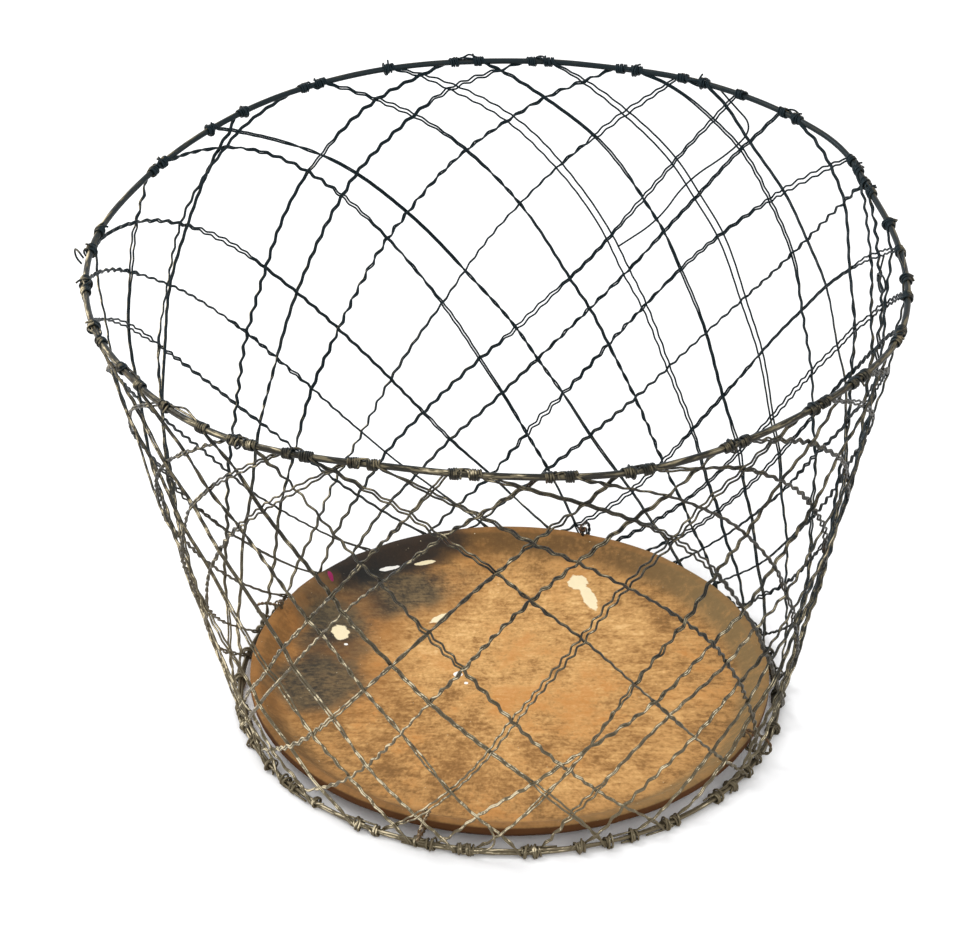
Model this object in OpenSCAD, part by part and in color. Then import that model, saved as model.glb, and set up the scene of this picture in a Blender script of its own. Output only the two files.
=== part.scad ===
// Fruit picker's basket, woven by hand from steel wire.
// A heavy rim hoop and a smaller base hoop are joined by a net of wire pairs
// that slope both ways round the wall. A shallow wooden tray closes the bottom
// and is tied to the net. Millimetres, +Z up, front of the basket towards -Y.

/* [Hoops] */
// Diameter of the rim hoop, to the middle of its wire
rim_d = 457; // [400:1:520]
// Diameter of the base hoop, to the middle of its wire
base_d = 324; // [290:1:350]
// Thickness of the wire of both hoops
hoop_wire = 3.6; // [3:0.1:5]
// Height from the middle of the base hoop to the middle of the rim hoop
net_h = 292; // [250:1:340]
// How far the base has been pushed sideways from under the rim
base_shift = 10; // [0:1:15]
// Degrees by which the back of the rim stands up
rim_tip_back = 2.7; // [0:0.1:4]
// Degrees by which the right of the rim stands up
rim_tip_right = 1.4; // [0:0.1:3]
// How far the two sides of the rim dip under its front and back, as it is bent out of flat
rim_dip = 6; // [0:0.5:8]
// Degrees by which the dip is turned round from the sides
rim_dip_turn = 12; // [0:1:30]

/* [Net] */
// Thickness of the net wire
net_wire = 1.1; // [0.9:0.1:1.4]
// Distance between the two wires of a strand, middle to middle
pair_pitch = 2.4; // [1.6:0.1:3]
// Distance along a hoop between the knots of the two wires of a strand
knot_pitch = 8; // [6:0.5:9]

/* [Tray] */
// Diameter of the tray over its lip
tray_d = 312; // [280:1:318]
// Height of the tray
tray_h = 16; // [14:0.5:20]
// Width of the flat top of the lip
lip_w = 6; // [5:0.5:8]
// Depth of the upright edge of the lip
lip_edge_h = 6; // [4:0.5:8]
// Thickness of the floor of the tray
floor_t = 4.5; // [3:0.5:6]
// How far the wall of the tray flares outwards
flare = 12; // [8:1:16]
// Hole in the lip for a tie
tie_hole_d = 3; // [2.5:0.1:4]
// Thickness of the tie wire
tie_wire = 1.4; // [1:0.1:1.6]

/* [Hidden] */
// Strands that fall to the right, seen from outside the basket. Each row has the degree of its knot
// on the rim hoop, the degree of its knot on the base hoop, how far its middle is lifted and how
// strongly it bends into an S. The last two are in percent of the height of the net.
FALL_RIGHT = [
    [2, 81, -4, 7], [21, 102, -14, 0], [27, 112, -6, 4], [43, 131, -15, -2], [51, 139, -12, -4],
    [61, 151, -5, 3], [71, 157, 11, 2], [85, 178, 6, 7], [97, 189, 4, 8], [121, 210, 17, 4],
    [132, 216, 3, 3], [152, 226, -1, 6], [170, 237, 0, 6], [187, 250, 2, 6], [202, 259, -2, 6],
    [216, 272, -3, 3], [230, 289, -11, -3], [238, 302, -10, 1], [246, 327, 2, 4], [255, 332, 15, -1],
    [268, 353, 5, 8], [280, 363, 3, 7], [290, 379, 4, 8], [304, 390, 3, 6], [319, 400, 1, 6],
    [328, 412, 2, 6], [341, 420, -2, 6], [350, 428, -3, 6]
];
// Strands that fall to the left, in the same way
FALL_LEFT = [
    [8, -75, -7, -4], [17, -64, 0, 3], [23, -54, 1, 3], [39, -42, -3, 11], [56, -37, 13, -4],
    [67, -15, 12, 4], [81, -2, 6, 4], [92, 13, 5, 5], [106, 23, 5, 7], [117, 34, 3, 6],
    [137, 44, -1, 6], [148, 72, 16, 4], [174, 77, 7, 8], [183, 92, 3, 6], [196, 106, 2, 6],
    [209, 120, -1, 6], [221, 135, 0, 6], [234, 146, -2, 5], [242, 161, -3, 5], [251, 170, -4, 5],
    [264, 193, -9, 0], [276, 197, -2, 3], [286, 203, -11, 3], [300, 221, -4, 6], [315, 243, 3, 8],
    [324, 263, -2, 5], [337, 255, -11, -4], [353, 276, -4, -6]
];
// How far the rim is bent out of round, as the degree round the rim and the distance in mm
RIM_KINKS = [
    [0, -3.9], [12, -4.3], [18, -3.5], [24, 0.5], [30, 4.6], [42, 2.9], [60, 0], [72, -3], [90, -2.5],
    [108, 1], [126, 3], [144, 1.3], [156, 0], [171, 1.2], [186, -1], [210, -2], [222, 0.6], [232, 2],
    [240, 0.3], [255, -3.4], [270, -1.7], [287, 1.5], [300, -0.5], [312, -2.3], [324, -1.5],
    [338, 2.3], [348, -0.3], [354, -2.2], [360, -3.9]
];
// An outward kink also stands the back of the rim up and drops its front, in these shares
kink_out = 0.52;
kink_up = 0.85;
// Degrees round the tray at which it is tied to the net
TIE_ANGLES = [72, 157, 252, 333];

rim_r = rim_d / 2;
base_r = base_d / 2;
hoop_r = hoop_wire / 2;
net_r = net_wire / 2;
clear = 0.05;
// The lowest wraps of net wire under the base hoop touch the floor
base_z = hoop_r + net_wire + 2 * clear;
rim_z = base_z + net_h;
// Distance from the middle of a hoop to the middle of a wire wrapped round it
wrap_r = hoop_r + net_r + clear;
// The strands that fall right lie outside those that fall left
layer = net_r + clear;
tray_r = tray_d / 2;

BODY_STEPS = 10;
// A wire goes three quarters of the way round a hoop in short steps
WRAP_DEGREES = [0, 65, 130, 195, 260];
NET_SIDES = 5;
// Where the straight run of a strand starts and stops, short of its two knots
start_down = 0.03;
RIM_STEPS = 72;
RIM_SIDES = 6;

function unit(v) = v / norm(v);
function outward(a) = [cos(a), sin(a), 0];
function along(a) = [-sin(a), cos(a), 0];

// A point of the base hoop at angle a
function base_point(a) = [base_shift + base_r * cos(a), base_r * sin(a), base_z];

// A point of the rim hoop as it was bent, dipped at the sides, then tipped to the back and to the right
function smooth_rim_point(a) =
    let (
        dip = -rim_dip * cos(2 * (a + rim_dip_turn)),
        x = rim_r * cos(a),
        y = rim_r * sin(a) * cos(rim_tip_back) - dip * sin(rim_tip_back),
        z = rim_r * sin(a) * sin(rim_tip_back) + dip * cos(rim_tip_back)
    )
    [
        x * cos(rim_tip_right) - z * sin(rim_tip_right),
        y,
        rim_z + x * sin(rim_tip_right) + z * cos(rim_tip_right)
    ];

// What use has done to the rim at angle a
function rim_kink(a) =
    let (w = lookup((a % 360 + 360) % 360, RIM_KINKS))
    w * [cos(a), kink_out * sin(a), kink_up * sin(a)];

// A point of the rim hoop at angle a
function rim_point(a) = smooth_rim_point(a) + rim_kink(a);

// A point of the wall between the hoops, with up = 0 at the base hoop and 1 at the rim hoop.
// The kinks of the rim die out in the net below it.
function wall_point(a, up) =
    (1 - up) * base_point(a) + up * smooth_rim_point(a) + pow(max(up, 0), 3) * rim_kink(a);

// The middle line of a strand, with g = 0 at the rim hoop and 1 at the base hoop
function strand_angle(s, g) = s[0] + (s[1] - s[0]) * g;
function strand_up(s, g) = 1 - g + s[2] / 100 * sin(180 * g) + s[3] / 100 * sin(360 * g);
function strand_point(s, g) = wall_point(strand_angle(s, g), strand_up(s, g));

// One wire of the pair as [point, outward direction] steps between its two wraps.
// layer_side is 1 for the outer layer and -1 for the inner one, and pair_side is 1 or -1.
function body_steps(s, layer_side, pair_side) = [
    for (i = [0 : BODY_STEPS])
        let (
            g = start_down + (1 - 2 * start_down) * i / BODY_STEPS,
            a = strand_angle(s, g),
            run = unit(strand_point(s, g + 0.01) - strand_point(s, g - 0.01)),
            out = outward(a),
            across = unit(cross(out, run)),
            lift = (i == 0 || i == BODY_STEPS) ? wrap_r : layer
        )
        [strand_point(s, g) + layer_side * lift * out + pair_side * pair_pitch / 2 * across, out]
];

// A wire wrapped round a hoop: over the rim hoop and under the base hoop
function wrap_steps(centre, a, layer_side, up_sign) = [
    for (turn = WRAP_DEGREES)
        let (
            spoke = layer_side * cos(turn) * outward(a) + up_sign * sin(turn) * [0, 0, 1],
            slide = net_wire * turn / 360 * along(a)
        )
        [centre + wrap_r * spoke + slide, layer_side * spoke]
];

function reversed(list) = [for (i = [len(list) - 1 : -1 : 0]) list[i]];

function wire_steps(s, layer_side, pair_side) =
    let (
        rim_a = s[0] + pair_side * degrees_along(knot_pitch / 2, rim_r),
        base_a = s[1] + pair_side * degrees_along(knot_pitch / 2, base_r)
    )
    concat(
        reversed(wrap_steps(rim_point(rim_a), rim_a, layer_side, 1)),
        body_steps(s, layer_side, pair_side),
        wrap_steps(base_point(base_a), base_a, layer_side, -1)
    );

function degrees_along(length, radius) = length / radius * 180 / PI;

// Rings of points round a wire that follows [point, side direction] steps
function wire_rings(steps, r, sides, closed) =
    let (n = len(steps))
    [
        for (i = [0 : n - 1])
            let (
                before = closed ? (i + n - 1) % n : max(i - 1, 0),
                after = closed ? (i + 1) % n : min(i + 1, n - 1),
                run = unit(steps[after][0] - steps[before][0]),
                u = unit(cross(run, steps[i][1])),
                v = cross(run, u)
            )
            for (k = [0 : sides - 1])
                steps[i][0] + r * (cos(360 * k / sides) * u + sin(360 * k / sides) * v)
    ];

// Triangles between ring i and ring next_i
function ring_walls(i, next_i, sides) = [
    for (k = [0 : sides - 1])
        let (here = i * sides, next = next_i * sides, k2 = (k + 1) % sides)
        for (tri = [[here + k, next + k, next + k2], [here + k, next + k2, here + k2]])
            tri
];

// A round wire with two cut ends
module bent_wire(steps, r, sides) {
    n = len(steps);
    walls = [for (i = [0 : n - 2]) each ring_walls(i, i + 1, sides)];
    start_cap = [for (k = [0 : sides - 1]) k];
    end_cap = [for (k = [sides - 1 : -1 : 0]) (n - 1) * sides + k];
    polyhedron(points = wire_rings(steps, r, sides, false), faces = concat(walls, [start_cap], [end_cap]));
}

// A round wire welded end to end
module closed_wire(steps, r, sides) {
    n = len(steps);
    walls = [for (i = [0 : n - 1]) each ring_walls(i, (i + 1) % n, sides)];
    polyhedron(points = wire_rings(steps, r, sides, true), faces = walls);
}

module net_strand(s, layer_side) {
    color(layer_side > 0 ? "dimgray" : "slategray")
        for (pair_side = [-1, 1])
            bent_wire(wire_steps(s, layer_side, pair_side), net_r, NET_SIDES);
}

// Heavy wire bent to a ring, which use has pushed a little out of round and out of flat
module rim_hoop() {
    color("darkslategray")
        closed_wire(
            [for (i = [0 : RIM_STEPS - 1]) let (a = 360 * i / RIM_STEPS) [rim_point(a), outward(a)]],
            hoop_r,
            RIM_SIDES
        );
}

module base_hoop() {
    color("darkslategray")
        translate([base_shift, 0, base_z])
            rotate_extrude($fn = 180)
                translate([base_r, 0])
                    circle(r = hoop_r, $fn = 24);
}

// Middle of the lip, where the tie holes are
tie_r = tray_r - lip_w / 2;

// Shallow turned dish with a flat lip and a flared wall
module tray() {
    foot_r = tray_r - flare;
    color("peru")
        translate([base_shift, 0, 0])
            difference() {
                rotate_extrude($fn = 180)
                    polygon([
                        [0, 0],
                        [foot_r, 0],
                        [tray_r, tray_h - lip_edge_h],
                        [tray_r, tray_h],
                        [tray_r - lip_w, tray_h],
                        [foot_r - lip_w, floor_t],
                        [0, floor_t]
                    ]);
                for (a = TIE_ANGLES)
                    rotate(a)
                        translate([tie_r, 0, -1])
                            cylinder(d = tie_hole_d, h = tray_h + 2, $fn = 32);
            }
}

// A hook of wire up through the lip, over its edge and round the net, as [out, along, up]
TIE_BEND = [
    [0, 0, 24], [0, 0, 17], [0, 0, 9.5], [1.5, 0, 7.8], [5, 0, 7.5], [11, 0, 7.6],
    [15.5, 0, 8.6], [17, 0.4, 12], [17, 0.8, 17], [14.5, 1.2, 20.3], [8, 1.7, 21], [-1, 2.2, 21.5]
];

module tray_ties() {
    color("saddlebrown")
        translate([base_shift, 0, 0])
            for (a = TIE_ANGLES)
                rotate(a)
                    bent_wire([for (p = TIE_BEND) [[tie_r, 0, 0] + p, [0, 1, 0]]], tie_wire / 2, NET_SIDES);
}

module net_strand_of(side, i) {
    if (side == "right")
        net_strand(FALL_RIGHT[i], 1);
    else
        net_strand(FALL_LEFT[i], -1);
}

function two_digits(n) = n < 10 ? str("0", n) : str(n);

rim_hoop();
base_hoop();
tray();
tray_ties();
for (side = ["right", "left"])
    for (i = [0 : len(FALL_RIGHT) - 1])
        net_strand_of(side, i);
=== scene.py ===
import math

import bpy
import numpy as np
from mathutils import Matrix, Vector


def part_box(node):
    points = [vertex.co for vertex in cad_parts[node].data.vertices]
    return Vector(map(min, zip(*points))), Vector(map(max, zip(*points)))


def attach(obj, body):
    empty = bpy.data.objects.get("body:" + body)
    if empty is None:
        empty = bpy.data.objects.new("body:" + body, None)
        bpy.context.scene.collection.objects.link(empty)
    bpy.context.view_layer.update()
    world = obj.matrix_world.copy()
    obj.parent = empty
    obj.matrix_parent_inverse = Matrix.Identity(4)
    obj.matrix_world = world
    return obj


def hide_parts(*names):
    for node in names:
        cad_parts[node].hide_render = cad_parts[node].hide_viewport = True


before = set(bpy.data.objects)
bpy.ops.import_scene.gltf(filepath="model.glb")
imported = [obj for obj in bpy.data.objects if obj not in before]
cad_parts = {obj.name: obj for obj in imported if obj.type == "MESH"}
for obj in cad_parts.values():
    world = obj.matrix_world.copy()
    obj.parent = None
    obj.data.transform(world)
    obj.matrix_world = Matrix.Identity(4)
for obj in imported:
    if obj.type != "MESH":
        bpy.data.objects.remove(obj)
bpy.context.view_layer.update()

# --------
# Rim hoop: heavy steel wire bent to a ring. Years of use have pushed it out of flat and
# left it dark, with paler streaks where hands and crates have rubbed the outside. Its colour also
# holds painted shade inside and underneath, and painted highlights along its top.
# The net hangs from it and its wires are wrapped round it.
# --------
hoop_wire = 0.0036
rim_radius = 0.2285
rim_height = 0.295
rim_dip = 0.006
rim_dip_turn = math.radians(12)
rim_tip_back = math.radians(2.7)
rim_tip_right = math.radians(1.4)
hoop_rings = 480
hoop_sides = 14
hoop_waver = 0.0003
# How far the rim is bent out of round, as the degree round the rim and the distance in millimetres
rim_kinks = [
    (0, -3.9), (12, -4.3), (18, -3.5), (24, 0.5), (30, 4.6), (42, 2.9), (60, 0), (72, -3), (90, -2.5),
    (108, 1), (126, 3), (144, 1.3), (156, 0), (171, 1.2), (186, -1), (210, -2), (222, 0.6), (232, 2),
    (240, 0.3), (255, -3.4), (270, -1.7), (287, 1.5), (300, -0.5), (312, -2.3), (324, -1.5),
    (338, 2.3), (348, -0.3), (354, -2.2), (360, -3.9),
]
# A kink bends the wire softly over this many degrees on either side
kink_reach = 4
# At the sides a kink goes straight outward. At the back and front it goes outward by the first of
# these shares, and up at the back or down at the front by the second.
kink_out = 0.52
kink_up = 0.85
# The angle round a hoop between its small hand bends, and how uneven the thickness of its wire is
hoop_bend_turn = 0.35
hoop_uneven = 0.02
hoop_uneven_turn = 0.05

# Painted shade: the dark bluish colour of the steel's inside faces
shaded_inner_steel = (0.004, 0.013, 0.018, 1)
outer_steel = (0.018, 0.016, 0.011, 1)
# Dusty colour of the steel, also painted light toward the front and left
dusty_lit_steel = (0.150, 0.118, 0.068, 1)
worn_steel = (0.17, 0.142, 0.086, 1)
# Painted highlight on the steel
painted_highlight_steel = (0.72, 0.62, 0.42, 1)
rust_brown = (0.11, 0.045, 0.014, 1)


def smooth_rim_point(angle):
    """Points in the middle of the rim wire as it was first bent, at these angles round the basket."""
    dip = -rim_dip * np.cos(2 * (angle + rim_dip_turn))
    x = rim_radius * np.cos(angle)
    y = rim_radius * np.sin(angle) * math.cos(rim_tip_back) - dip * math.sin(rim_tip_back)
    z = rim_radius * np.sin(angle) * math.sin(rim_tip_back) + dip * math.cos(rim_tip_back)
    return np.stack([
        x * math.cos(rim_tip_right) - z * math.sin(rim_tip_right),
        y,
        rim_height + x * math.sin(rim_tip_right) + z * math.cos(rim_tip_right),
    ], axis=-1)


def rim_kink(angle):
    """What use has done to the rim. The wire takes each kink in a soft bend."""
    degrees, bends = np.array(rim_kinks).T
    near = np.degrees(angle)[..., None] + np.linspace(-kink_reach, kink_reach, 5)
    bend = np.interp(near % 360, degrees, bends).mean(axis=-1) / 1000
    lean = np.stack([np.cos(angle), kink_out * np.sin(angle), kink_up * np.sin(angle)], axis=-1)
    return bend[..., None] * lean


def rim_point(angle):
    """Points in the middle of the rim wire, at these angles round the basket."""
    return smooth_rim_point(angle) + rim_kink(angle)


def unit(vectors):
    """The same directions with a length of one."""
    return vectors / np.linalg.norm(vectors, axis=-1, keepdims=True)


def wander(place, reach, chance):
    """A smooth random line between -1 and 1 that turns about once in each reach."""
    start = place.min() - reach
    marks = chance.uniform(-1, 1, int((place.max() - start) / reach) + 3)
    spot = (place - start) / reach
    before = np.floor(spot).astype(int)
    share = spot - before
    share = share * share * (3 - 2 * share)
    return marks[before] * (1 - share) + marks[before + 1] * share


def wire_surface(points, thickness, sides, closed=False):
    """Corners and faces of round wire drawn along the points. thickness is one number, or one for
    each point."""
    points = np.asarray(points)
    if closed:
        runs = unit(np.roll(points, -1, axis=0) - np.roll(points, 1, axis=0))
    else:
        runs = unit(np.gradient(points, axis=0))
    slanting = (0.3, 0.2, 0.9)
    side = np.cross(runs[0], slanting)
    across = np.empty_like(points)
    for i, run in enumerate(runs):
        side = side - run * side.dot(run)
        side /= math.sqrt(side.dot(side))
        across[i] = side
    above = np.cross(runs, across)
    turn = 2 * math.pi * np.arange(sides) / sides
    radius = np.broadcast_to(thickness, len(points))[:, None, None] / 2
    ring = np.cos(turn)[:, None] * across[:, None] + np.sin(turn)[:, None] * above[:, None]
    corners = (points[:, None] + radius * ring).reshape(-1, 3)
    rings = len(points)
    here = np.arange(rings if closed else rings - 1)[:, None] * sides
    there = (here + sides) % (rings * sides)
    k = np.arange(sides)
    k_next = (k + 1) % sides
    walls = np.stack([here + k, here + k_next, there + k_next, there + k], axis=-1).reshape(-1, 4)
    faces = walls.tolist()
    if not closed:
        faces.append(list(range(sides - 1, -1, -1)))
        faces.append(list(range((rings - 1) * sides, rings * sides)))
    return corners, faces


def make_piece(name, surfaces, material, nodes):
    """One piece of the basket from one or more surfaces. It stands for these CAD nodes."""
    corners = []
    faces = []
    count = 0
    for part_corners, part_faces in surfaces:
        corners.append(part_corners)
        faces.extend([[corner + count for corner in face] for face in part_faces])
        count += len(part_corners)
    mesh = bpy.data.meshes.new(name)
    mesh.from_pydata(np.concatenate(corners).tolist(), [], faces)
    mesh.shade_smooth()
    mesh.materials.append(material)
    piece = bpy.data.objects.new(name, mesh)
    bpy.context.scene.collection.objects.link(piece)
    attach(piece, "root")
    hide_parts(*nodes)


class Finish:
    """The node tree of one material, with a short way to add each kind of node."""

    def __init__(self, name, roughness, metallic, specular):
        self.material = bpy.data.materials.new(name)
        self.material.use_nodes = True
        self.tree = self.material.node_tree
        self.shader = self.tree.nodes["Principled BSDF"]
        self.shader.inputs["Roughness"].default_value = roughness
        self.shader.inputs["Metallic"].default_value = metallic
        self.shader.inputs["Specular IOR Level"].default_value = specular
        self.place = self.tree.nodes.new("ShaderNodeTexCoord").outputs["Object"]
        self.facing = self.tree.nodes.new("ShaderNodeNewGeometry").outputs["Normal"]

    def wire(self, source, target):
        """Links a socket to an input, or sets the input where the source is a plain value."""
        if isinstance(source, bpy.types.NodeSocket):
            self.tree.links.new(source, target)
        else:
            target.default_value = source

    def stretch(self, scale, turn=0.0, shift=(0, 0, 0), place=None):
        """Places stretched, turned about the vertical and shifted."""
        node = self.tree.nodes.new("ShaderNodeMapping")
        node.inputs["Scale"].default_value = scale
        node.inputs["Rotation"].default_value = (0, 0, turn)
        node.inputs["Location"].default_value = shift
        self.wire(place or self.place, node.inputs["Vector"])
        return node.outputs["Vector"]

    def noise(self, scale, detail=4.0, rough=0.55, place=None):
        """A cloudy pattern between 0 and 1. A larger scale makes finer clouds."""
        node = self.tree.nodes.new("ShaderNodeTexNoise")
        node.inputs["Scale"].default_value = scale
        node.inputs["Detail"].default_value = detail
        node.inputs["Roughness"].default_value = rough
        self.wire(place or self.place, node.inputs["Vector"])
        return node.outputs["Fac"]

    def fade(self, source, low, high, low_out=0.0, high_out=1.0):
        """Turns source from low_out to high_out as it goes from low to high."""
        node = self.tree.nodes.new("ShaderNodeMapRange")
        node.interpolation_type = "SMOOTHSTEP"
        self.wire(source, node.inputs["Value"])
        node.inputs["From Min"].default_value = low
        node.inputs["From Max"].default_value = high
        node.inputs["To Min"].default_value = low_out
        node.inputs["To Max"].default_value = high_out
        return node.outputs["Result"]

    def math(self, operation, a, b=0.0, c=0.0):
        node = self.tree.nodes.new("ShaderNodeMath")
        node.operation = operation
        for k, source in enumerate((a, b, c)):
            self.wire(source, node.inputs[k])
        return node.outputs["Value"]

    def product(self, *shares):
        """Several shares multiplied together."""
        result = shares[0]
        for share in shares[1:]:
            result = self.math("MULTIPLY", result, share)
        return result

    def vector(self, operation, a, b=(0, 0, 0)):
        node = self.tree.nodes.new("ShaderNodeVectorMath")
        node.operation = operation
        self.wire(a, node.inputs[0])
        self.wire(b, node.inputs[1])
        return node.outputs["Value" if operation in ("DOT_PRODUCT", "LENGTH") else "Vector"]

    def mix(self, share, a, b):
        """Colour a, or colour b where share is 1."""
        node = self.tree.nodes.new("ShaderNodeMix")
        node.data_type = "RGBA"
        self.wire(share, node.inputs["Factor"])
        self.wire(a, node.inputs["A"])
        self.wire(b, node.inputs["B"])
        return node.outputs["Result"]

    def colour(self, source):
        self.wire(source, self.shader.inputs["Base Color"])

    def rough(self, source):
        self.wire(source, self.shader.inputs["Roughness"])

    def bump(self, height, distance, strength=1.0):
        node = self.tree.nodes.new("ShaderNodeBump")
        node.inputs["Distance"].default_value = distance
        node.inputs["Strength"].default_value = strength
        self.wire(height, node.inputs["Height"])
        self.wire(node.outputs["Normal"], self.shader.inputs["Normal"])

    def facing_out(self, centre_x):
        """1 where the surface faces away from the middle of the basket, and -1 where it faces in."""
        flat = self.vector("MULTIPLY", self.place, (1, 1, 0))
        spoke = self.vector("SUBTRACT", flat, (centre_x, 0, 0))
        spoke = self.vector("NORMALIZE", spoke)
        return self.vector("DOT_PRODUCT", self.facing, spoke)


# About the middle of the basket from left to right, between the middles of its two hoops
basket_x = 0.004
# Steel that faces this way, up and a little to the left, is the palest: painted light from above and the
# left, with painted shade on the steel that faces away
painted_light_side = (-0.25, 0, 0.97)
# Rubbed paler steel and painted highlights grow downward and to the left, and the dusty colour downward,
# with painted light to the front and to the left
wear_and_highlight_slope = (0.3, 0.12, 1)
dust_and_light_slope = (0.3, 0.5, 1)
# The rubbed paler steel and painted highlights are strongest near this place, low down at the front left
bright_spot_place = (-0.08, -0.16, 0.04)
bright_spot_reach = 0.16
# Below this height the paler steel and painted highlights fade: painted shade where the steel stands on the
# floor
foot_shade_height = 0.018
pitting = 0.00012


def steel_finish(name, streak_scale, streak_span, inner_share, wear_and_highlight_share, rust_share=0.4, worn=worn_steel,
                 streak_place=None):
    """Old bare steel, with painted shade on the inside and underneath and painted highlights outside, on top
    and to the left. It is dusty and rubbed paler outside and on top, more so low down, and has specks of
    rust.
    Low down the dusty colour also holds painted light toward the front, and at the foot painted shade.
    streak_scale and streak_span set how fine and how common the streaks are. The inner share is how much
    of the outside's colour, rubbing and painted light the inside has."""
    finish = Finish(name, roughness=0.5, metallic=0.3, specular=0.25)
    # Inside faces take the shaded inner steel: painted shade
    outside = finish.fade(finish.facing_out(basket_x), -0.35, 0.75, inner_share, 1.0)
    # Painted light on steel that faces up and left, painted shade underneath
    painted_top_light = finish.fade(finish.vector("DOT_PRODUCT", finish.facing, painted_light_side), -0.25, 0.85, 0.08, 1.0)
    low = finish.fade(finish.vector("DOT_PRODUCT", finish.place, wear_and_highlight_slope), 0.36, 0.02, 0.35, 1.25)
    patches = finish.fade(finish.noise(scale=28.0, detail=5), 0.36, 0.62, 0.45, 1.15)
    along = streak_place(finish) if streak_place else finish.place
    streaks = finish.fade(finish.noise(streak_scale, rough=0.65, place=along), *streak_span, 0.06, 1.0)
    # Rubbed paler steel and painted highlights strongest low down at the front left
    to_bright_spot = finish.vector("LENGTH", finish.vector("SUBTRACT", finish.place, bright_spot_place))
    bright_spot = finish.fade(to_bright_spot, bright_spot_reach, bright_spot_reach / 4, 1.0, 2.2)
    # Painted shade at the foot, where the steel stands on the floor
    height = finish.vector("DOT_PRODUCT", finish.place, (0, 0, 1))
    foot_shade = finish.fade(height, foot_shade_height / 6, foot_shade_height, 0.40, 1.0)
    wear_and_highlight = finish.product(outside, painted_top_light, low, patches, streaks, bright_spot, foot_shade, wear_and_highlight_share)
    steel = finish.mix(outside, shaded_inner_steel, outer_steel)
    # Dusty colour low down, with painted light toward the front and left
    dust_and_light = finish.fade(finish.vector("DOT_PRODUCT", finish.place, dust_and_light_slope), 0.13, -0.06, 0.0, 0.9)
    steel = finish.mix(dust_and_light, steel, dusty_lit_steel)
    # Rubbed paler steel, and painted highlights where it is rubbed most
    steel = finish.mix(finish.fade(wear_and_highlight, 0.0, 0.40), steel, worn)
    steel = finish.mix(finish.fade(wear_and_highlight, 0.42, 0.95), steel, painted_highlight_steel)
    rust = finish.fade(finish.noise(scale=75.0, detail=6, rough=0.7), 0.58, 0.70, 0.0, rust_share)
    finish.colour(finish.mix(finish.product(rust, outside), steel, rust_brown))
    finish.rough(finish.fade(streaks, 0.1, 1.0, 0.36, 0.62))
    finish.bump(finish.noise(scale=1400.0, rough=0.6), pitting)
    return finish.material


def along_the_hoops(finish):
    """Places drawn out along the hoops, so that streaks run lengthwise on the wire."""
    streak_stretch = 0.030
    parts = finish.tree.nodes.new("ShaderNodeSeparateXYZ")
    finish.wire(finish.place, parts.inputs["Vector"])
    turn = finish.math("ARCTAN2", parts.outputs["Y"], parts.outputs["X"])
    flat = finish.vector("LENGTH", finish.vector("MULTIPLY", finish.place, (1, 1, 0)))
    joined = finish.tree.nodes.new("ShaderNodeCombineXYZ")
    finish.wire(finish.math("MULTIPLY", turn, streak_stretch), joined.inputs["X"])
    finish.wire(flat, joined.inputs["Y"])
    finish.wire(parts.outputs["Z"], joined.inputs["Z"])
    return joined.outputs["Vector"]


hoop_steel = steel_finish("hoop_steel", streak_scale=620.0, streak_span=(0.44, 0.66), inner_share=0.15,
                          wear_and_highlight_share=1.9, streak_place=along_the_hoops)
hoop_chance = np.random.default_rng(11)


def hoop_surface(middle, thickness):
    """A hoop of wire with small hand bends, which fade out where its ends meet."""
    angle = 2 * math.pi * np.arange(hoop_rings) / hoop_rings
    close = np.sin(angle / 2) ** 0.5
    spoke = np.stack([np.cos(angle), np.sin(angle), 0 * angle], axis=-1)
    waver = close * hoop_waver * wander(angle, hoop_bend_turn, hoop_chance)
    points = middle(angle) + waver[:, None] * spoke
    uneven = thickness * (1 + hoop_uneven * close * wander(angle, hoop_uneven_turn, hoop_chance))
    return wire_surface(points, uneven, hoop_sides, closed=True)


make_piece("rim_wire", [hoop_surface(rim_point, hoop_wire)], hoop_steel, ["rim_hoop"])

# --------
# Base hoop: the ring that the basket stands on. It is a thinner wire taken round twice, so that
# two wires lie close together and roll over each other here and there.
# --------
base_low, base_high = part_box("base_hoop")
base_x = (base_low.x + base_high.x) / 2
base_height = (base_low.z + base_high.z) / 2
base_radius = (base_high.x - base_low.x - hoop_wire) / 2
base_wire = 0.0019
base_pair = 0.0017


def base_point(angle):
    """Points in the middle of the base wire, at these angles round the basket."""
    angle = np.asarray(angle, float)
    return np.stack([
        base_x + base_radius * np.cos(angle),
        base_radius * np.sin(angle),
        np.full_like(angle, base_height),
    ], axis=-1)


def base_pair_point(half):
    """The middle of one of the two wires of the base hoop, which roll over each other unevenly. half
    is 1 or -1."""
    def middle(angle):
        roll = 1.1 + 0.9 * np.sin(3 * angle + 0.6) + 0.35 * np.sin(7 * angle)
        spoke = np.stack([np.cos(angle) * np.cos(roll), np.sin(angle) * np.cos(roll), np.sin(roll)], axis=-1)
        return base_point(angle) + half * base_pair / 2 * spoke
    return middle


make_piece("base_wire", [hoop_surface(base_pair_point(half), base_wire) for half in (1, -1)], hoop_steel,
           ["base_hoop"])

# --------
# Net strands: pairs of thin crimped steel wires, woven over and under each other between the
# hoops. Each pair is wound tightly round a hoop at both ends. At the rim it runs on along the
# hoop to the next collar, and what is left over is cut off as a short tail.
# --------
net_wire = 0.00122
net_sides = 7
net_step = 0.00095
hoop_step = 0.0012
tail_step = 0.001
crimp_length = 0.0104
crimp_height = 0.00062
# The crimps of one family stand out of the wall more than those of the other, as an angle
crimp_lean = {"right": 0.2, "left": 0.85}
twist_length = 0.009
open_gap = 0.0014
weave_depth = 0.0007
collar_turns = 2
base_turns = 1.5
rim_loose = 0.0003
base_loose = 0.0009
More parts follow.
